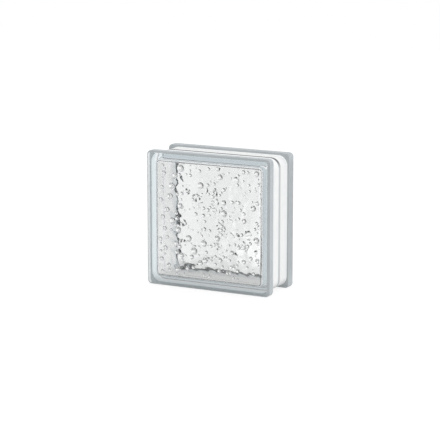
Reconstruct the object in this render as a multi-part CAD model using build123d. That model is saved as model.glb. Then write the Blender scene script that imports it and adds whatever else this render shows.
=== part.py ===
from build123d import *
import math
import os

# Hollow glass building block, in millimetres.
# It stands on its lower flanges: X is across the face, Y is depth with the front at -Y, Z is up.
# The origin is the centre of its footprint.

# Overall size
block_width = 190.0
block_height = 190.0
block_depth = 80.0

# Flange round each face
flange_depth = 16.0
flange_corner_radius = 6.0
face_edge_radius = 4.0
flange_back_radius = 2.0

# Mortar channel between the two flanges, shallowest at the seam
channel_depth = 3.0
channel_draft = 2.0
channel_corner_radius = 14.0
channel_cove_radius = 1.5

# Glass round the sealed cavity, with the wall measured at the seam
face_thickness = 8.0
wall_thickness = 6.0
cavity_draft = 5.0
cavity_corner_radius = 9.0
cavity_floor_radius = 5.0

# Rounded lip of each half, which leaves the fine groove of the fused seam
seam_lip_radius = 1.6

# A cove uses at most this share of the flat left beside it
cove_share = 0.9

# How closely an edge must lie in its place to be picked
place_tolerance = 0.01

half_depth = block_depth / 2
channel_run = half_depth - flange_depth
foot_depth = channel_depth + channel_run * math.tan(math.radians(channel_draft))
seam_plane = Plane(origin=(0, 0, block_height / 2), x_dir=(1, 0, 0), z_dir=(0, -1, 0))


def rounded_panel(inset, corner_radius, distance):
    """Face outline set in from the block's sides, at a distance in front of the seam."""
    outline = RectangleRounded(block_width - 2 * inset, block_height - 2 * inset, corner_radius)
    return seam_plane.offset(distance) * outline


def end_edges(solid, end):
    """Edges round the solid's face at one end of the depth, -1 for the rearmost and 0 for the frontmost."""
    return solid.faces().sort_by(Axis.Y)[end].edges()


def flange():
    """Band round the face, rounded in front and behind."""
    band = extrude(rounded_panel(0, flange_corner_radius, channel_run), flange_depth)
    band = fillet(end_edges(band, 0), face_edge_radius)
    return fillet(end_edges(band, -1), flange_back_radius)


def barrel():
    """Side walls under the channel, tapering from the seam into the flange."""
    reach = channel_run + flange_depth / 2
    body = extrude(rounded_panel(channel_depth, channel_corner_radius, 0), reach, taper=channel_draft)
    return fillet(end_edges(body, -1), seam_lip_radius)


def cavity():
    """Half of the sealed air space, with a draft and a rounded floor."""
    inset = channel_depth + wall_thickness
    space = extrude(
        rounded_panel(inset, cavity_corner_radius, 0), half_depth - face_thickness, taper=cavity_draft
    )
    return fillet(end_edges(space, 0), cavity_floor_radius)


def is_foot(edge):
    """True for an edge in the corner between the channel's floor and the flange."""
    box = edge.bounding_box()
    on_plane = math.isclose(box.min.Y, -channel_run, abs_tol=place_tolerance)
    flat = box.size.Y < place_tolerance
    centre = edge.center()
    reach = max(
        abs(centre.X) - block_width / 2, abs(centre.Z - block_height / 2) - block_height / 2
    )
    return on_plane and flat and reach < place_tolerance - foot_depth


def half_shell():
    """One pressed half: flange and walls joined by a cove, less its half of the cavity."""
    outer = flange() + barrel()
    cove = min(channel_cove_radius, cove_share * (foot_depth - flange_back_radius))
    outer = fillet(outer.edges().filter_by(is_foot), cove)
    return outer - cavity()


front_half = half_shell()
rear_half = mirror(front_half, about=Plane.XZ)

os.makedirs("parts", exist_ok=True)
for name, half in (("front_half", front_half), ("rear_half", rear_half)):
    export_step(half, f"parts/{name}.step")
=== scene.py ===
"""Hollow glass building block on a pale studio floor.

Two pressed halves meet at a fused seam. Each has a droplet pattern on the inner side of its panel and
a white coating in its share of the mortar channel.
"""
import logging
import math
import random
from dataclasses import dataclass, field
from enum import IntEnum

import bpy
import numpy as np
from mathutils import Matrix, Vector


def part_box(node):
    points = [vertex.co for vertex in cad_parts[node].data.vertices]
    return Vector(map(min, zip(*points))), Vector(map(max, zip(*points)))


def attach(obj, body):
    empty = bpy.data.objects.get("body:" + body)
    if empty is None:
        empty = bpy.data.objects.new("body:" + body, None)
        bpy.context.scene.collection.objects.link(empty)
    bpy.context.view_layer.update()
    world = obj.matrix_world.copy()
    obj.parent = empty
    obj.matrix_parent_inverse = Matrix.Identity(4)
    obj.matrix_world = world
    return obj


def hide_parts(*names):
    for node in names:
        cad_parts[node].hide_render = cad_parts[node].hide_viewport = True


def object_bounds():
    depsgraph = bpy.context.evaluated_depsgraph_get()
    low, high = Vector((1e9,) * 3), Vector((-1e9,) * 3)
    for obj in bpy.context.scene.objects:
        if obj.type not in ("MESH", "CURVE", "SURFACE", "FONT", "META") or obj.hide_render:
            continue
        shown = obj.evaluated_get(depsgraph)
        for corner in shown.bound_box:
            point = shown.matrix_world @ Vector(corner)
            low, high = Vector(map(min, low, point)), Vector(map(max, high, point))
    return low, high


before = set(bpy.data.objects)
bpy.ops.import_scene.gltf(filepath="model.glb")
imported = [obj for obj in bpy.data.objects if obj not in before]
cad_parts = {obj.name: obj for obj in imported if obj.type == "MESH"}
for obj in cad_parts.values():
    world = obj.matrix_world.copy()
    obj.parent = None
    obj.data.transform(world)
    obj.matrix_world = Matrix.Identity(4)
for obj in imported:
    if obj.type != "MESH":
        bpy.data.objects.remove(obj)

MM = 0.001
CAD_BOX = [list(corner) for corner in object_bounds()]
Colour = tuple[float, float, float, float]
# A point of the section is its distance from the seam and its inset from the side
Point = tuple[float, float]
# A span is its low end and its high end
Span = tuple[float, float]
log = logging.getLogger("glass_block")


class Skin(IntEnum):
    """Material slots of a half, in order."""

    GLASS = 0
    COATING = 1
    JOINT = 2
    EDGE = 3
    # the flange's roundings, darkened by painted shade
    FILLET = 4
    SEAM = 5
    # the fold round the cavity's floor, a dark line of painted shade
    FOLD = 6


class Bench:
    """The few moves that every piece is made with."""

    @staticmethod
    def clear() -> None:
        """Leaves edit mode and selects nothing."""
        if bpy.context.object is not None and bpy.context.object.mode != "OBJECT":
            bpy.ops.object.mode_set(mode="OBJECT")
        bpy.ops.object.select_all(action="DESELECT")

    @staticmethod
    def hold(*pieces: bpy.types.Object) -> bpy.types.Object:
        """Selects only these pieces and makes the first one active.

        Args:
            pieces: the pieces to select.

        Returns:
            The first piece.
        """
        Bench.clear()
        for piece in pieces:
            piece.select_set(True)
        bpy.context.view_layer.objects.active = pieces[0]
        return pieces[0]

    @staticmethod
    def settle(piece: bpy.types.Object) -> None:
        """Moves a piece's place, turn and scale into its mesh."""
        Bench.hold(piece)
        bpy.ops.object.transform_apply(location=True, rotation=True, scale=True)

    @staticmethod
    def edit(piece: bpy.types.Object) -> None:
        """Opens a piece in edit mode, to pick vertices, with nothing selected.

        Args:
            piece: the piece.
        """
        Bench.hold(piece)
        bpy.ops.object.mode_set(mode="EDIT")
        bpy.ops.mesh.select_mode(type="VERT")
        bpy.ops.mesh.select_all(action="DESELECT")

    @staticmethod
    def pick(piece: bpy.types.Object, *names: str) -> None:
        """Selects only the vertices of these groups, in edit mode.

        Args:
            piece: the piece being edited.
            names: its vertex groups.
        """
        bpy.ops.mesh.select_all(action="DESELECT")
        for name in names:
            piece.vertex_groups.active = piece.vertex_groups[name]
            bpy.ops.object.vertex_group_select()

    @staticmethod
    def dress(piece: bpy.types.Object, skin: Skin) -> None:
        """Gives the selected faces the material of one slot, in edit mode."""
        piece.active_material_index = skin
        bpy.ops.object.material_slot_assign()

    @staticmethod
    def shape(piece: bpy.types.Object, kind: str, **settings: object) -> None:
        """Adds a modifier, sets it and applies it.

        Args:
            piece: the piece to shape.
            kind: the modifier's type.
            settings: its properties by name.
        """
        Bench.hold(piece)
        bpy.ops.object.modifier_add(type=kind)
        modifier = piece.modifiers[-1]
        for name, value in settings.items():
            setattr(modifier, name, value)
        bpy.ops.object.modifier_apply(modifier=modifier.name)


@dataclass(frozen=True)
class Section:
    """Cross-section of one half, in metres, with slopes in radians and the ends of arcs in degrees.

    The cove and the face's rounding end a few degrees short of the flat beyond them. Bare is how far
    the coating stays from the seam. An outline at hold_back from a rounding keeps its shading off the
    flat beside it.
    """

    flange_depth: float = 16 * MM
    flange_corner: float = 6 * MM
    flange_least_corner: float = 1.2 * MM
    flange_back: float = 2 * MM
    face_edge: float = 4 * MM
    face_edge_end: float = -3
    face_thickness: float = 8 * MM
    channel_depth: float = 3 * MM
    channel_draft: float = math.radians(2)
    channel_corner: float = 14 * MM
    cove: float = 1.5 * MM
    cove_end: float = 4
    lip: float = 1.6 * MM
    bare: float = 3 * MM
    wall: float = 6 * MM
    cavity_draft: float = math.radians(5)
    cavity_corner: float = 9 * MM
    cavity_least_corner: float = 0.2 * MM
    cavity_floor: float = 5 * MM
    hold_back: float = 0.4 * MM


@dataclass(frozen=True)
class Ring:
    """One rounded outline of a half, and the skin of the band that leads up to it."""

    distance: float
    inset: float
    corner: float
    skin: Skin = Skin.GLASS


def arc(centre: Point, radius: float, start: float, end: float, steps: int) -> list[Point]:
    """Points of an arc in the section.

    Args:
        centre: the arc's centre.
        radius: its radius.
        start: its first angle in degrees, 0 towards the face and 90 inwards.
        end: its last angle.
        steps: how many chords it has.

    Returns:
        The points in order, each as its distance from the seam and its inset from the side.
    """
    turns = [math.radians(start + (end - start) * i / steps) for i in range(steps + 1)]
    return [(centre[0] + radius * math.cos(t), centre[1] + radius * math.sin(t)) for t in turns]


@dataclass(frozen=True)
class Drop:
    """A raised lens on the inner side of a panel, placed from the panel's centre."""

    x: float
    z: float
    radius: float


@dataclass(frozen=True)
class Wave:
    """One size of unevenness in the glass."""

    name: str
    size: float
    height: float
    detail: int


@dataclass(frozen=True)
class Relief:
    """Droplets and soft waves on the inner side of a panel."""

    seed: int = 11
    small: int = 115
    small_radii: Span = (1.3 * MM, 2.6 * MM)
    spacing: float = 1.1
    reach: float = 78 * MM
    steepness: float = 0.68
    waves: tuple[Wave, ...] = (
        Wave("waves", 14 * MM, 1.6 * MM, 1),
        Wave("ripple", 4 * MM, 0.16 * MM, 2),
    )
    ramp_rows: int = 28

    def main_drops(self) -> list[Drop]:
        """The larger drops, listed in millimetres from the panel's centre."""
        places = (
            (-43, 73, 4.6), (-12, 51, 4.6), (18, 65, 4.0), (54, 75, 3.0), (74, 74, 4.0),
            (24, 30, 3.6), (69, 26, 4.0), (24, 15, 4.6), (55, 7, 3.5), (-31, -25, 4.6),
            (-7, -30, 4.6), (14, -21, 4.0), (74, -18, 4.2), (-22, -42, 4.6), (37, -39, 3.0),
            (-26, -51, 3.2), (-12, -58, 3.6), (-5, -54, 3.8), (55, -50, 3.0), (76, -47, 3.2),
            (-57, 47, 4.4), (-60, 32, 4.4), (-65, 13, 4.0), (-56, -2, 4.4), (19, -51, 3.0),
            (-70, 64, 3.6), (-73, 44, 3.2), (-75, 26, 3.4), (-72, 2, 3.6), (-69, -14, 3.4),
            (-76, -30, 3.2), (-68, -42, 3.6), (-74, -58, 3.4), (-62, -66, 3.2), (-48, -70, 3.4),
            (-52, 62, 3.6), (-44, 20, 3.4), (-47, -14, 3.6), (-50, -34, 3.4), (-42, -50, 3.2),
        )
        return [Drop(x * MM, z * MM, r * MM) for x, z, r in places]

    def drops(self) -> list[Drop]:
        """Fills the gaps between the main drops with small ones.

        Returns:
            All the drops.
        """
        chance = random.Random(self.seed)
        placed = self.main_drops()
        wanted = len(placed) + self.small
        while len(placed) < wanted:
            x = chance.uniform(-self.reach, self.reach)
            z = chance.uniform(-self.reach, self.reach)
            r = chance.uniform(*self.small_radii)
            if all(math.hypot(x - d.x, z - d.z) > (r + d.radius) * self.spacing for d in placed):
                placed.append(Drop(x, z, r))
        return placed

    def weights(self, x: np.ndarray, z: np.ndarray) -> tuple[np.ndarray, float]:
        """Height of the drops over the panel.

        Args:
            x: sideways places from the panel's centre.
            z: upward places from the panel's centre.

        Returns:
            The height as a share of the tallest drop, and the tallest drop's height.
        """
        drops = self.drops()
        tallest = max(d.radius for d in drops) * self.steepness
        height = np.zeros_like(x)
        for drop in drops:
            rise = drop.radius * self.steepness
            ball = (drop.radius**2 + rise**2) / (2 * rise)
            off = np.hypot(x - drop.x, z - drop.z)
            near = off < drop.radius
            cap = np.sqrt(ball**2 - off[near] ** 2) - (ball - rise)
            height[near] = np.maximum(height[near], cap / tallest)
        return height, tallest


@dataclass
class HalfShell:
    """One pressed half, made facing the viewer.

    Steps are the chords of each rounding. The flange's roundings carry painted shade up to their
    outlines back_dark and face_dark. The fold is the band between fold_rings outlines of the cavity's
    fillet, which carries a dark line of painted shade, and it stops fold_gap outlines short of the
    floor.
    """

    low: Vector
    high: Vector
    materials: list[bpy.types.Material]
    section: Section = field(default_factory=Section)
    relief: Relief = field(default_factory=Relief)
    corner_steps: int = 10
    side_cuts: int = 24
    lip_steps: int = 4
    cove_steps: int = 4
    back_steps: int = 6
    back_dark: int = 4
    face_steps: int = 8
    face_dark: int = 7
    fillet_steps: int = 8
    fold_rings: int = 2
    fold_gap: int = 2
    rows: int = 270
    smooth_angle: float = math.radians(60)

    def __post_init__(self) -> None:
        """Works out the sizes that follow from the frame's box."""
        self.half_width = (self.high.x - self.low.x) / 2
        self.half_height = (self.high.z - self.low.z) / 2
        self.middle = (self.high.z + self.low.z) / 2
        self.half_depth = self.high.y - self.low.y
        self.run = self.half_depth - self.section.flange_depth
        self.foot = self.section.channel_depth + self.run * math.tan(self.section.channel_draft)

    def channel_ring(self, distance: float, inset: float, skin: Skin) -> Ring:
        """An outline of the channel, whose corner tightens as it goes in."""
        s = self.section
        return Ring(distance, inset, s.channel_corner - (inset - s.channel_depth), skin)

    def flange_ring(self, distance: float, inset: float, skin: Skin = Skin.GLASS) -> Ring:
        """An outline of the flange, whose corner tightens as it goes in."""
        s = self.section
        return Ring(distance, inset, max(s.flange_corner - inset, s.flange_least_corner), skin)

    def channel_rings(self) -> list[Ring]:
        """Places the channel's outlines.

        Returns:
            The outlines, from the seam's lip to the foot of the flange.
        """
        s = self.section
        slope = math.tan(s.channel_draft)
        end = self.run - s.cove - s.hold_back
        lip = arc((s.lip, s.channel_depth + s.lip), s.lip, 180, 270, self.lip_steps)
        cove = arc((self.run - s.cove, self.foot - s.cove), s.cove, 90, s.cove_end, self.cove_steps)
        rings = [self.channel_ring(d, i, Skin.SEAM) for d, i in lip]
        rings.append(self.channel_ring(s.bare, s.channel_depth + s.bare * slope, Skin.SEAM))
        rings.append(self.channel_ring(end, s.channel_depth + end * slope, Skin.COATING))
        rings += [self.channel_ring(d, i, Skin.COATING) for d, i in cove[:-1]]
        # The cove's last band takes the roundings' painted shade.
        rings.append(self.channel_ring(*cove[-1], Skin.FILLET))
        return rings

    def flange_rings(self) -> list[Ring]:
        """Places the flange's outlines.

        Returns:
            The outlines, from the flange's back round its side to the flat of the face.
        """
        s = self.section
        side = self.run + s.flange_back
        front = self.half_depth - s.face_edge
        back = arc((side, s.flange_back), s.flange_back, 180, 270, self.back_steps)
        face = arc((front, s.face_edge), s.face_edge, -90, s.face_edge_end, self.face_steps)
        # The back's rounding takes painted shade up to outline back_dark.
        rings = [self.flange_ring(d, i, Skin.FILLET) for d, i in back[:self.back_dark]]
        rings += [self.flange_ring(d, i, Skin.EDGE) for d, i in back[self.back_dark:]]
        rings.append(self.flange_ring(side + s.hold_back, 0, Skin.EDGE))
        rings.append(self.flange_ring(front - s.hold_back, 0, Skin.EDGE))
        rings.append(self.flange_ring(*face[0], Skin.EDGE))
        # The face's rounding takes painted shade up to outline face_dark.
        rings += [self.flange_ring(d, i, Skin.FILLET) for d, i in face[1:self.face_dark]]
        rings += [self.flange_ring(d, i) for d, i in face[self.face_dark:]]
        rings.append(self.flange_ring(self.half_depth, s.face_edge + s.hold_back))
        return rings

    def cavity_profile(self) -> list[Point]:
        """Follows the cavity's wall from the seam, and then its fillet.

        Returns:
            Distances from the seam and insets from the side.
        """
        s = self.section
        slope = math.tan(s.cavity_draft)
        mouth = s.channel_depth + s.wall
        centre_d = self.half_depth - s.face_thickness - s.cavity_floor
        centre_i = mouth + centre_d * slope + s.cavity_floor / math.cos(s.cavity_draft)
        start = -90 + math.degrees(s.cavity_draft)
        fillet = arc((centre_d, centre_i), s.cavity_floor, start, 0, self.fillet_steps)
        top = fillet[0][0]
        walls = [(d, mouth + d * slope) for d in (0, s.hold_back, top / 2, top - s.hold_back)]
        return walls + fillet

    def cavity_ring(self, step: int, profile: list[Point]) -> Ring:
        """Finds one outline of the cavity's skin.

        Args:
            step: its number, from the seam down the wall and in to the floor's middle.
            profile: the wall and the fillet.

        Returns:
            The outline.
        """
        s = self.section
        if step < len(profile):
            distance, inset = profile[step]
        else:
            distance, edge = profile[-1]
            left = self.rows // 2 - len(profile) + 1
            inset = edge + (self.half_width - edge) * (step - len(profile) + 1) / left
        corner = max(s.cavity_corner + s.channel_depth + s.wall - inset, s.cavity_least_corner)
        return Ring(distance, inset, corner)

    def outline(self, ring: Ring, shares: np.ndarray, side: int) -> tuple[np.ndarray, np.ndarray]:
        """Places points along one side of a rounded outline, from corner middle to corner middle.

        Args:
            ring: the outline.
            shares: how far along the side each point is, from 0 to 1.
            side: 0 for the bottom, then on round to the right, the top and the left.

        Returns:
            The points' x and z.
        """
        spans = (self.half_width, self.half_height)
        along, out = spans if side % 2 == 0 else spans[::-1]
        straight = 2 * (along - ring.inset - ring.corner)
        bend = ring.corner * math.pi / 4
        way = shares * (straight + 2 * bend)
        ahead = way / ring.corner - math.pi / 4
        past = np.maximum(way - bend - straight, 0) / ring.corner
        turn = np.where(way < bend, ahead, past)
        a = np.clip(way - bend, 0, straight) - straight / 2 + ring.corner * np.sin(turn)
        b = -(out - ring.inset - ring.corner) - ring.corner * np.cos(turn)
        x, z = ((a, b), (-b, a), (-a, -b), (b, -a))[side]
        return x, z + self.middle

    def loop(self, ring: Ring, name: str) -> bpy.types.Object:
        """One outline as an edge loop, from a plane with rounded corners.

        Args:
            ring: the outline.
            name: its vertex group.

        Returns:
            The loop.
        """
        Bench.clear()
        bpy.ops.mesh.primitive_plane_add(
            size=2, location=(0, -ring.distance, self.middle), rotation=(math.pi / 2, 0, 0)
        )
        piece = bpy.context.object
        piece.scale = (self.half_width - ring.inset, self.half_height - ring.inset, 1)
        Bench.settle(piece)
        Bench.edit(piece)
        bpy.ops.mesh.select_all(action="SELECT")
        bpy.ops.mesh.bevel(
            offset=ring.corner, segments=self.corner_steps, affect="VERTICES", clamp_overlap=False
        )
        bpy.ops.mesh.select_all(action="DESELECT")
        bpy.ops.object.mode_set(mode="OBJECT")
        for edge in piece.data.edges:
            edge.select = self.edge_length(piece, edge) > self.half_width / 2
        bpy.ops.object.mode_set(mode="EDIT")
        bpy.ops.mesh.select_mode(type="EDGE")
        bpy.ops.mesh.subdivide(number_cuts=self.side_cuts)
        bpy.ops.mesh.select_all(action="SELECT")
        bpy.ops.mesh.delete(type="ONLY_FACE")
        bpy.ops.object.mode_set(mode="OBJECT")
        group = piece.vertex_groups.new(name=name)
        group.add([v.index for v in piece.data.vertices], 1.0, "REPLACE")
        return piece

    @staticmethod
    def edge_length(piece: bpy.types.Object, edge: bpy.types.MeshEdge) -> float:
        """Length of one edge of a piece."""
        a, b = (piece.data.vertices[i].co for i in edge.vertices)
        return (a - b).length

    def outer_skin(self) -> bpy.types.Object:
        """Bridges the outlines into the flange, the channel and the flat face.

        Returns:
            The skin, with each outline as a vertex group and the first one called lip.
        """
        rings = self.channel_rings() + self.flange_rings()
        names = ["lip"] + [f"ring_{i:02d}" for i in range(1, len(rings))]
        loops = [self.loop(ring, name) for ring, name in zip(rings, names)]
        piece = Bench.hold(*loops)
        bpy.ops.object.join()
        for material in self.materials:
            piece.data.materials.append(material)
        Bench.edit(piece)
        for ring, here, there in zip(rings[1:], names, names[1:]):
            Bench.pick(piece, here, there)
            bpy.ops.mesh.bridge_edge_loops()
            Bench.dress(piece, ring.skin)
        Bench.pick(piece, names[-1])
        bpy.ops.mesh.edge_face_add()
        Bench.dress(piece, Skin.GLASS)
        bpy.ops.object.mode_set(mode="OBJECT")
        return piece

    def cavity_skin(self) -> bpy.types.Object:
        """Lays a fine grid on the cavity's floor, round its fillet and up its walls.

        Returns:
            The skin, with its mouth and the fold round its floor as vertex groups.
        """
        n = self.rows
        Bench.clear()
        bpy.ops.mesh.primitive_grid_add(
            x_subdivisions=n, y_subdivisions=n, size=n, rotation=(-math.pi / 2, 0, 0)
        )
        piece = bpy.context.object
        piece.data.materials.append(self.materials[Skin.GLASS])
        Bench.settle(piece)
        co = np.empty(len(piece.data.vertices) * 3)
        piece.data.vertices.foreach_get("co", co)
        co = co.reshape(-1, 3)
        column = np.rint(co[:, 0] + n / 2).astype(int)
        row = np.rint(co[:, 2] + n / 2).astype(int)
        depth = np.minimum.reduce([column, row, n - column, n - row])
        profile = self.cavity_profile()
        for k in range(n // 2):
            ring = self.cavity_ring(k, profile)
            sides = (
                (row == k, column - k),
                (column == n - k, row - k),
                (row == n - k, n - k - column),
                (column == k, n - k - row),
            )
            for side, (on_side, steps) in enumerate(sides):
                chosen = (depth == k) & on_side
                x, z = self.outline(ring, steps[chosen] / (n - 2 * k), side)
                co[chosen] = np.stack([x, np.full_like(x, -ring.distance), z], axis=1)
        co[depth == n // 2] = (0, -profile[-1][0], self.middle)
        piece.data.vertices.foreach_set("co", co.ravel())
        piece.data.update()
        fold_end = len(profile) - self.fold_gap
        fold = (depth >= fold_end - self.fold_rings) & (depth < fold_end)
        self.add_group(piece, "mouth", (depth == 0).astype(float))
        self.add_group(piece, "fold", fold.astype(float))
        self.press_relief(piece, co, depth - len(profile))
        return piece

    def press_relief(self, piece: bpy.types.Object, co: np.ndarray, inward: np.ndarray) -> None:
        """Presses the waves and the drops into the cavity's floor.

        Args:
            piece: the cavity's skin.
            co: the places of its vertices.
            inward: how many rows each vertex lies inside the floor's edge.
        """
        drops, tallest = self.relief.weights(co[:, 0], co[:, 2] - self.middle)
        self.add_group(piece, "drops", drops * (inward >= 0))
        self.add_group(piece, "waves", np.clip(inward / self.relief.ramp_rows, 0, 1))
        for wave in self.relief.waves:
            clouds = bpy.data.textures.new(wave.name, type="CLOUDS")
            clouds.noise_scale = wave.size
            clouds.noise_depth = wave.detail
            Bench.shape(
                piece, "DISPLACE", texture=clouds, texture_coords="LOCAL", direction="Y",
                vertex_group="waves", strength=wave.height, mid_level=0.5,
            )
        Bench.shape(
            piece, "DISPLACE", direction="Y", vertex_group="drops", strength=tallest, mid_level=0.0
        )

    @staticmethod
    def add_group(piece: bpy.types.Object, name: str, weights: np.ndarray) -> None:
        """Adds a vertex group.

        Args:
            piece: the piece.
            name: the group's name.
            weights: one weight for each vertex, and vertices with none are left out.
        """
        group = piece.vertex_groups.new(name=name)
        for value in np.unique(weights[weights > 0]):
            group.add(np.flatnonzero(weights == value).tolist(), float(value), "REPLACE")

    def build(self, name: str) -> bpy.types.Object:
        """Joins the outer skin to the cavity across the seam's flat ring.

        Args:
            name: the piece's name.

        Returns:
            The closed half.
        """
        outer = self.outer_skin()
        piece = Bench.hold(outer, self.cavity_skin())
        bpy.ops.object.join()
        Bench.edit(piece)
        Bench.pick(piece, "lip", "mouth")
        bpy.ops.mesh.select_mode(type="EDGE")
        bpy.ops.mesh.bridge_edge_loops()
        Bench.dress(piece, Skin.JOINT)
        bpy.ops.mesh.select_mode(type="VERT")
        # The fold takes a dark line of painted shade.
        Bench.pick(piece, "fold")
        Bench.dress(piece, Skin.FOLD)
        bpy.ops.mesh.select_all(action="SELECT")
        bpy.ops.mesh.normals_make_consistent(inside=False)
        bpy.ops.object.mode_set(mode="OBJECT")
        bpy.ops.object.shade_smooth_by_angle(angle=self.smooth_angle)
        piece.name = name
        piece.vertex_groups.clear()
        return piece


def turned_copy(piece: bpy.types.Object, name: str) -> bpy.types.Object:
    """Copies a piece and turns the copy half a turn about the vertical.

    Args:
        piece: the piece to copy.
        name: the copy's name.

    Returns:
        The copy, with a mesh of its own.
    """
    Bench.hold(piece)
    bpy.ops.object.duplicate(linked=False)
    copy = bpy.context.object
    copy.rotation_euler = (0, 0, math.pi)
    Bench.settle(copy)
    copy.name = name
    return copy


class Wire:
    """An output socket that does arithmetic."""

    def __init__(self, graph: "Graph", socket: bpy.types.NodeSocket) -> None:
        """Wraps a socket."""
        self.graph = graph
        self.socket = socket

    def __add__(self, other: "Wire | float") -> "Wire":
        """Sum."""
        return self.graph.maths("ADD", self, other)

    def __sub__(self, other: "Wire | float") -> "Wire":
        """Difference."""
        return self.graph.maths("SUBTRACT", self, other)

    def __rsub__(self, other: float) -> "Wire":
        """Difference from a number."""
        return self.graph.maths("SUBTRACT", other, self)

    def __mul__(self, other: "Wire | float") -> "Wire":
        """Product."""
        return self.graph.maths("MULTIPLY", self, other)

    def __abs__(self) -> "Wire":
        """Size without the sign."""
        return self.graph.maths("ABSOLUTE", self)

    __radd__ = __add__
    __rmul__ = __mul__


class Graph:
    """A node tree that is written as expressions."""

    def __init__(self, owner: bpy.types.Material | bpy.types.World) -> None:
        """Empties the owner's node tree.

        Args:
            owner: the material or the world to write for.
        """
        owner.use_nodes = True
        self.tree = owner.node_tree
        self.tree.nodes.clear()

    def add(
        self, kind: str, inputs: dict[str | int, object], out: str | int = 0, **settings: object
    ) -> Wire:
        """Adds a node.

        Args:
            kind: the node's type, without its common prefix.
            inputs: values or wires by socket name or number.
            out: the socket to take.
            settings: the node's properties.

        Returns:
            The output.
        """
        node = self.tree.nodes.new("ShaderNode" + kind)
        for name, value in settings.items():
            setattr(node, name, value)
        for name, value in inputs.items():
            if isinstance(value, Wire):
                self.tree.links.new(value.socket, node.inputs[name])
            else:
                node.inputs[name].default_value = value
        return Wire(self, node.outputs[out] if len(node.outputs) else None)

    def maths(self, operation: str, *values: "Wire | float") -> Wire:
        """Adds a Math node."""
        return self.add("Math", dict(enumerate(values)), operation=operation)

    def smooth(self, value: Wire, low: float, high: float) -> Wire:
        """Rises smoothly from 0 at low to 1 at high."""
        inputs = {"Value": value, "From Min": low, "From Max": high}
        return self.add("MapRange", inputs, interpolation_type="SMOOTHSTEP")

    def blend(self, share: Wire | float, first: object, second: object) -> Wire:
        """Mixes two colours."""
        return self.add("Mix", {0: share, 6: first, 7: second}, out=2, data_type="RGBA")

    def noise(self, scale: float, detail: float = 2.0) -> Wire:
        """Noise over the object's own coordinates."""
        place = self.add("TexCoord", {}, out="Object")
        return self.add("TexNoise", {"Vector": place, "Scale": scale, "Detail": detail})

    def grain(self, scale: float, strength: float, height: float) -> Wire:
        """Normal of a fine grain."""
        inputs = {"Height": self.noise(scale), "Strength": strength, "Distance": height}
        return self.add("Bump", inputs, out="Normal")


@dataclass(frozen=True)
class PressedGlass:
    """Fire-polished glass with a faint tint."""

    tint: Colour = (0.985, 0.988, 0.988, 1)
    deep: Colour = (0.97, 0.976, 0.978, 1)
    index: float = 1.52
    roughness: float = 0.02
    cloud_scale: float = 45
    grain_scale: float = 420
    grain_strength: float = 0.05
    grain_height: float = 0.2 * MM

    def material(self) -> bpy.types.Material:
        """Builds the material.

        Returns:
            The material.
        """
        material = bpy.data.materials.new("pressed_glass")
        g = Graph(material)
        cloud = g.noise(self.cloud_scale)
        shader = g.add("BsdfPrincipled", {
            "Base Color": g.blend(cloud, self.tint, self.deep),
            "Roughness": self.roughness * cloud,
            "IOR": self.index,
            "Transmission Weight": 1.0,
            "Normal": g.grain(self.grain_scale, self.grain_strength, self.grain_height),
        })
        g.add("OutputMaterial", {"Surface": shader})
        return material


@dataclass(frozen=True)
class FlangeGlass:
    """Moulded sides of the flange, slightly matt, bluer than the face and darkened by painted shade.
    """

    name: str = "flange_glass"
    # The glass's own bluish tint, darkened as painted shade for what the clear flange shows.
    tint: Colour = (0.57, 0.61, 0.63, 1)
    deep: Colour = (0.52, 0.565, 0.59, 1)
    inner: Colour = (0.93, 0.955, 0.965, 1)
    index: float = 1.52
    clear: float = 0.2
    sheer: float = 0.6
    gloss: float = 0.2
    matt: float = 0.28
    matt_spread: float = 0.1
    cloud_scale: float = 45
    grain_scale: float = 420
    grain_strength: float = 0.1
    grain_height: float = 0.2 * MM

    def material(self) -> bpy.types.Material:
        """Builds the material, which from inside the glass lets light through.

        Returns:
            The material.
        """
        material = bpy.data.materials.new(self.name)
        g = Graph(material)
        cloud = g.noise(self.cloud_scale)
        back = g.add("NewGeometry", {}, out="Backfacing")
        shader = g.add("BsdfPrincipled", {
            "Base Color": g.blend(back, g.blend(cloud, self.tint, self.deep), self.inner),
            "Roughness": self.matt + self.matt_spread * cloud,
            "IOR": self.index,
            "Transmission Weight": self.clear,
            "Specular IOR Level": self.gloss,
            "Normal": g.grain(self.grain_scale, self.grain_strength, self.grain_height),
        })
        lit = g.add("BsdfTranslucent", {"Color": self.inner})
        surface = g.add("MixShader", {0: self.sheer * back, 1: shader, 2: lit})
        g.add("OutputMaterial", {"Surface": surface})
        return material


@dataclass(frozen=True)
class ShadedFilletGlass(FlangeGlass):
    """Rounded edges of the flange, darkened by painted shade against its sides."""

    name: str = "fillet_glass_painted_shade"
    tint: Colour = (0.44, 0.47, 0.48, 1)
    deep: Colour = (0.35, 0.38, 0.39, 1)
    inner: Colour = (0.5, 0.55, 0.57, 1)
    clear: float = 0.1
    gloss: float = 0.02


@dataclass(frozen=True)
class ShadedFoldGlass(FlangeGlass):
    """Painted shade: a dark line along the fold round the cavity's floor."""

    name: str = "fold_glass_painted_shade"
    tint: Colour = (0.22, 0.24, 0.25, 1)
    deep: Colour = (0.16, 0.18, 0.19, 1)
    inner: Colour = (0.22, 0.24, 0.25, 1)
    clear: float = 0.5
    sheer: float = 0
    matt: float = 0.05


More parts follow.
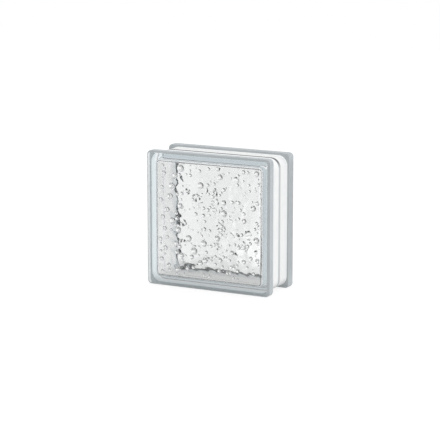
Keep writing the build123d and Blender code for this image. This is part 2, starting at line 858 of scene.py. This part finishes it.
@dataclass(frozen=True)
class SeamGlass:
    """Bare fused glass in the seam's groove, with painted shade where the groove lies on top."""

    tint: Colour = (0.60, 0.62, 0.63, 1)
    top_shade: Colour = (0.22, 0.23, 0.24, 1)
    inner: Colour = (0.92, 0.93, 0.94, 1)
    top_shade_heights: Span = (CAD_BOX[1][2] - 18 * MM, CAD_BOX[1][2] - 6 * MM)
    gloss: float = 0.2
    matt: float = 0.6
    matt_spread: float = 0.2
    cloud_scale: float = 60

    def material(self) -> bpy.types.Material:
        """Builds the material.

        Returns:
            The material.
        """
        material = bpy.data.materials.new("seam_glass")
        g = Graph(material)
        place = g.add("TexCoord", {}, out="Object")
        height = g.add("SeparateXYZ", {0: place}, out="Z")
        shader = g.add("BsdfPrincipled", {
            # Painted shade: the groove darkens near the top of the block.
            "Base Color": g.blend(g.smooth(height, *self.top_shade_heights), self.tint, self.top_shade),
            "Roughness": self.matt + self.matt_spread * g.noise(self.cloud_scale),
            "Specular IOR Level": self.gloss,
        })
        back = g.add("NewGeometry", {}, out="Backfacing")
        lit = g.add("BsdfTranslucent", {"Color": self.inner})
        g.add("OutputMaterial", {"Surface": g.add("MixShader", {0: back, 1: shader, 2: lit})})
        return material


@dataclass(frozen=True)
class EdgeCoating:
    """White mortar-channel coating; from inside it takes the glass's tint, and painted shade in a
    reflection.
    """

    colour: Colour = (0.955, 0.96, 0.965, 1)
    thin: Colour = (0.91, 0.92, 0.925, 1)
    thin_share: Span = (0.4, 0.75)
    inner: Colour = (0.98, 0.98, 0.98, 1)
    long: Colour = (0.86, 0.93, 0.96, 1)
    # Painted shade: the darker copy of the coat seen in a reflection.
    reflected_shade: Colour = (0.59, 0.65, 0.68, 1)
    glass_lengths: Span = (9 * MM, 20 * MM)
    sheer: float = 0.88
    matt: float = 0.35
    matt_spread: float = 0.2
    cloud_scale: float = 60
    cloud_detail: float = 4
    grain_scale: float = 1500
    grain_strength: float = 0.3
    grain_height: float = 0.1 * MM

    def outside(self, g: Graph) -> Wire:
        """Builds the coating's outer side."""
        cloud = g.noise(self.cloud_scale, self.cloud_detail)
        return g.add("BsdfPrincipled", {
            "Base Color": g.blend(g.smooth(cloud, *self.thin_share), self.colour, self.thin),
            "Roughness": self.matt + self.matt_spread * cloud,
            "Normal": g.grain(self.grain_scale, self.grain_strength, self.grain_height),
        })

    def lit(self, g: Graph, colour: Colour) -> Wire:
        """Builds a thin coat of one colour, mostly lit through from outside.

        Args:
            g: the graph.
            colour: the coat's colour.

        Returns:
            The shader.
        """
        white = g.add("BsdfDiffuse", {"Color": colour})
        through = g.add("BsdfTranslucent", {"Color": colour})
        return g.add("MixShader", {0: self.sheer, 1: white, 2: through})

    def inside(self, g: Graph) -> Wire:
        """Builds the coating's inner side.

        Args:
            g: the graph.

        Returns:
            The shader.
        """
        length = g.add("LightPath", {}, out="Ray Length")
        bounced = g.add("LightPath", {}, out="Is Reflection Ray")
        deep = g.smooth(length, *self.glass_lengths)
        straight = g.add("MixShader", {0: deep, 1: self.lit(g, self.inner), 2: self.lit(g, self.long)})
        # Painted shade: seen in a reflection, the coat is a darker copy.
        return g.add("MixShader", {0: bounced, 1: straight, 2: self.lit(g, self.reflected_shade)})

    def material(self) -> bpy.types.Material:
        """Builds the material.

        Returns:
            The material.
        """
        material = bpy.data.materials.new("edge_coating")
        g = Graph(material)
        back = g.add("NewGeometry", {}, out="Backfacing")
        surface = g.add("MixShader", {0: back, 1: self.outside(g), 2: self.inside(g)})
        g.add("OutputMaterial", {"Surface": surface})
        return material


@dataclass(frozen=True)
class FusedJoint:
    """The plane where the halves melted together, which bends no light."""

    tint: Colour = (1, 1, 1, 1)

    def material(self) -> bpy.types.Material:
        """Builds the material.

        Returns:
            The material.
        """
        material = bpy.data.materials.new("fused_joint")
        g = Graph(material)
        g.add("OutputMaterial", {"Surface": g.add("BsdfTransparent", {"Color": self.tint})})
        return material


@dataclass(frozen=True)
class Surroundings:
    """What lights the block and shows in its glass.

    Light that has passed through glass, or comes off a gloss, sees a studio that is pale in front and
    behind, dark at the sides and grey above, with a floor that carries a painted shadow near the block
    and painted shade where it is met steeply. Scattered light sees a plain white studio with a soft
    shadow under the block.
    Each span is the stretch over which one level gives way to the next.
    """

    heading: float = math.radians(20)
    pale_span: Span = (0.82, 0.93)
    pale: float = 1.0
    side: float = 0.03
    glare_heading: float = math.radians(4)
    glare_span: Span = (0.93, 1.0)
    glare: float = 0.15
    ceiling: float = 0.6
    ceiling_span: Span = (-0.02, 0.25)
    # Painted shadow: the floor seen in the glass is darker near the block.
    near: float = 0.78
    near_span: Span = (0.10, 0.22)
    # Painted shade: the floor seen in the glass is dark where met steeply.
    steep: float = 0.08
    steep_span: Span = (0.35, 0.68)
    fill: float = 1.0
    key: float = 0.16
    key_heading: float = math.radians(70)
    key_rise: float = 0.3
    camera: float = 1.0
    table: float = 0.95
    shadow: float = 0.62
    shadow_span: Span = (1.0, 1.5)
    footprint: tuple[float, float, float] = (CAD_BOX[1][0], CAD_BOX[1][1], 1.0)
    floor_size: float = 6
    floor_level: float = -0.05 * MM
    floor_colour: Colour = (0.95, 0.95, 0.95, 1)
    glow: float = 1.09
    glow_share: float = 0.7
    mottle: Span = (0.985, 0.02)
    mottle_scale: float = 3

    def facing(self, g: Graph, place: Wire, heading: float) -> Wire:
        """How nearly a direction lies along a heading or against it, from 0 to 1.

        Args:
            g: the graph.
            place: direction or place, with the block in the middle.
            heading: the heading, from straight in front of the block.

        Returns:
            The share.
        """
        flat = g.add("VectorMath", {0: place, 1: (1, 1, 0)}, operation="MULTIPLY")
        unit = g.add("VectorMath", {0: flat}, operation="NORMALIZE")
        towards = (math.sin(heading), -math.cos(heading), 0)
        return abs(g.add("VectorMath", {0: unit, 1: towards}, out="Value", operation="DOT_PRODUCT"))

    def sides(self, g: Graph, place: Wire) -> Wire:
        """Brightness by heading.

        Args:
            g: the graph.
            place: direction or place, with the block in the middle.

        Returns:
            The brightness.
        """
        pale = g.smooth(self.facing(g, place, self.heading), *self.pale_span)
        glare = g.smooth(self.facing(g, place, self.glare_heading), *self.glare_span)
        return self.side + (self.pale - self.side) * pale + self.glare * glare

    def light_paths(self, g: Graph) -> tuple[Wire, Wire]:
        """Tells the kinds of ray apart.

        Args:
            g: the graph.

        Returns:
            Whether the ray comes from the camera, and whether it comes from glass or a gloss.
        """
        camera = g.add("LightPath", {}, out="Is Camera Ray")
        glossy = g.add("LightPath", {}, out="Is Glossy Ray")
        through = g.add("LightPath", {}, out="Is Transmission Ray")
        diffuse = g.add("LightPath", {}, out="Is Diffuse Ray")
        depth = g.add("LightPath", {}, out="Diffuse Depth")
        scattered = g.maths("MINIMUM", diffuse + depth, 1.0)
        return camera, g.maths("MAXIMUM", glossy, through) * (1 - scattered)

    def world(self) -> None:
        """Builds the world."""
        world = bpy.data.worlds.new("studio")
        bpy.context.scene.world = world
        g = Graph(world)
        way = g.add("TexCoord", {}, out="Generated")
        rise = g.add("SeparateXYZ", {0: way}, out="Z")
        sides = self.sides(g, way)
        seen = sides + (self.ceiling - sides) * g.smooth(rise, *self.ceiling_span)
        towards = (math.sin(self.key_heading), -math.cos(self.key_heading), self.key_rise)
        key = abs(g.add("VectorMath", {0: way, 1: towards}, out="Value", operation="DOT_PRODUCT"))
        fill = self.fill + self.key * g.smooth(key, 0, 1)
        camera, clear = self.light_paths(g)
        strength = fill + (seen - fill) * clear
        strength = strength + (self.camera - strength) * camera
        light = g.add("Background", {"Color": (1, 1, 1, 1), "Strength": strength})
        g.add("OutputWorld", {"Surface": light})

    def floor_for_camera(self, g: Graph) -> Wire:
        """Builds the pale floor that the camera sees, which keeps the block's shadow.

        Args:
            g: the graph.

        Returns:
            The shader.
        """
        base, spread = self.mottle
        shade = g.add("BsdfDiffuse", {"Color": self.floor_colour})
        glow = g.add("Emission", {"Color": self.glow * (base + spread * g.noise(self.mottle_scale))})
        return g.add("MixShader", {0: self.glow_share, 1: shade, 2: glow})

    def floor_for_glass(self, g: Graph, place: Wire) -> Wire:
        """Builds the floor that is seen through glass or in a gloss.

        Args:
            g: the graph.
            place: the place on the floor.

        Returns:
            The shader.
        """
        sides = self.sides(g, place)
        distance = g.add("VectorMath", {0: place}, out="Value", operation="LENGTH")
        # Painted shadow near the block.
        level = self.near + (sides - self.near) * g.smooth(distance, *self.near_span)
        # Painted shade where the floor is met steeply.
        facing = g.add("LayerWeight", {}, out="Facing")
        flat = g.smooth(facing, *self.steep_span)
        return g.add("Emission", {"Color": self.steep + (level - self.steep) * flat})

    def floor_for_scatter(self, g: Graph, place: Wire) -> Wire:
        """Builds the floor that lights the block, darker under it.

        Args:
            g: the graph.
            place: the place on the floor.

        Returns:
            The shader.
        """
        scaled = g.add("VectorMath", {0: place, 1: self.footprint}, operation="DIVIDE")
        away = g.add("VectorMath", {0: scaled}, out="Value", operation="LENGTH")
        lit = g.smooth(away, *self.shadow_span)
        return g.add("Emission", {"Color": self.shadow + (self.table - self.shadow) * lit})

    def floor(self) -> None:
        """Builds the floor."""
        Bench.clear()
        bpy.ops.mesh.primitive_plane_add(size=self.floor_size, location=(0, 0, self.floor_level))
        piece = bpy.context.object
        piece.name = "floor"
        material = bpy.data.materials.new("studio_floor")
        piece.data.materials.append(material)
        g = Graph(material)
        place = g.add("TexCoord", {}, out="Object")
        camera, clear = self.light_paths(g)
        scatter = self.floor_for_scatter(g, place)
        plain = g.add("MixShader", {0: camera, 1: scatter, 2: self.floor_for_camera(g)})
        surface = g.add("MixShader", {0: clear, 1: plain, 2: self.floor_for_glass(g, place)})
        g.add("OutputMaterial", {"Surface": surface})


@dataclass(frozen=True)
class Viewpoint:
    """The photo's camera, round the block's centre."""

    azimuth: float = math.radians(27.59)
    elevation: float = math.radians(11.28)
    distance: float = 2.6226
    lens: float = 153.88
    sensor: float = 36.0
    drop: float = 2.2 * MM

    def place(self, centre: Vector) -> None:
        """Adds the camera.

        Args:
            centre: the block's centre.
        """
        away = Vector((
            math.cos(self.elevation) * math.sin(self.azimuth),
            -math.cos(self.elevation) * math.cos(self.azimuth),
            math.sin(self.elevation),
        ))
        spot = centre + away * self.distance
        aim = centre - Vector((0, 0, self.drop))
        turn = (aim - spot).to_track_quat("-Z", "Y").to_euler()
        Bench.clear()
        bpy.ops.object.camera_add(location=spot, rotation=turn)
        camera = bpy.context.object
        camera.data.lens = self.lens
        camera.data.sensor_width = self.sensor
        bpy.context.scene.camera = camera


def main() -> None:
    """Builds the block, its finishes and the studio, and reports each piece."""
    logging.basicConfig(level=logging.INFO, format="%(name)s: %(message)s")
    low, high = (Vector(corner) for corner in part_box("front_half"))
    finishes = {
        Skin.GLASS: PressedGlass(),
        Skin.COATING: EdgeCoating(),
        Skin.JOINT: FusedJoint(),
        Skin.EDGE: FlangeGlass(),
        # Painted shade on the flange's roundings.
        Skin.FILLET: ShadedFilletGlass(),
        Skin.SEAM: SeamGlass(),
        # Painted shade along the fold.
        Skin.FOLD: ShadedFoldGlass(),
    }
    materials = [finishes[skin].material() for skin in Skin]
    shell = HalfShell(low, high, materials)
    front = shell.build("front_glass")
    rear = turned_copy(front, "rear_glass")
    for piece, node in ((front, "front_half"), (rear, "rear_half")):
        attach(piece, "root")
        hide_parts(node)
        log.info("%s: %d faces", piece.name, len(piece.data.polygons))
    studio = Surroundings()
    studio.world()
    studio.floor()
    Viewpoint().place(Vector((0, 0, shell.middle)))
    bpy.context.scene.view_settings.view_transform = "Standard"


if __name__ == "__main__":
    main()
